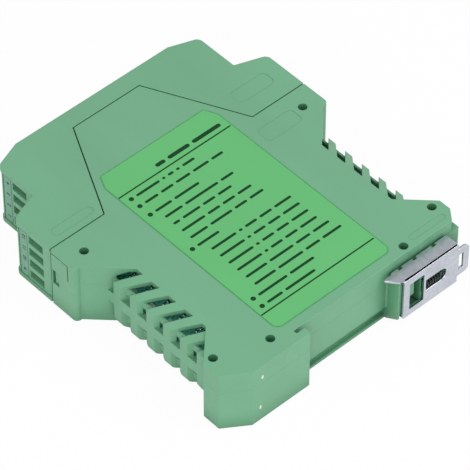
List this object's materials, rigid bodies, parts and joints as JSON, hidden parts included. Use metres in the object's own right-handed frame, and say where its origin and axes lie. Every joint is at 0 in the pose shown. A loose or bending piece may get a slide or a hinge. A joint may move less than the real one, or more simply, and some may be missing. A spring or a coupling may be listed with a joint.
{
  "type": "signal isolator",
  "caption": "Slim moulded DIN-rail signal isolator with stepped screw-clamp tiers, louvred waist, labelled broad side and a sprung steel rail latch.",
  "frame": {"origin": "middle of the broad side that it lies on, halfway between the front face and the fixed foot's rail side", "axes": "+X across the rail towards the latch, +Y from the rail to the front face, +Z through the thickness to the labelled side"},
  "size_m": [0.099, 0.114, 0.0226],
  "materials": {
    "housing": "fine matt moulded plastic",
    "terminal": "fine matt moulded plastic",
    "marker": "pale matt plastic with dark numbers",
    "tinned_metal": "tinned",
    "board": "dark green solder resist",
    "chip_body": "black moulded",
    "winding": "amber tape",
    "capacitor_sleeve": "shrunk sleeve",
    "trimmer_body": "blue moulded",
    "chip_part": "ceramic with tinned ends",
    "lamp": "tinted clear",
    "label_film": "smooth film with dark print",
    "latch_steel": "bright zinc plated",
    "spring_steel": "blackened"
  },
  "bodies": {
    "housing": {"base_shell": "housing", "cover_shell": "housing", "head_cap": "housing", "terminal_upper_left": "terminal", "terminal_lower_left": "terminal", "terminal_upper_right": "terminal", "terminal_lower_right": "terminal", "marker_upper_left": "marker", "marker_lower_left": "marker", "marker_upper_right": "marker", "marker_lower_right": "marker", "clamp_cages": "tinned_metal", "clamp_screws": "tinned_metal", "terminal_pins": "tinned_metal", "pcb": "board", "transformer_core": "chip_body", "optocouplers": "chip_body", "amplifier_chips": "chip_body", "transformer_coil": "winding", "capacitors": "capacitor_sleeve", "trimmers": "trimmer_body", "chip_parts": "chip_part", "status_led": "lamp", "label": "label_film", "latch_spring": "spring_steel"},
    "latch": {"foot_latch": "latch_steel"}
  },
  "joints": [
    {"name": "latch_slide", "type": "slide", "parent": "housing", "child": "latch", "axis": [1, 0, 0], "range_m": [0, 0.003], "stiffness_N_per_m": 1500, "springref_m": -0.004, "deforming": ["latch_spring"]}
  ]
}
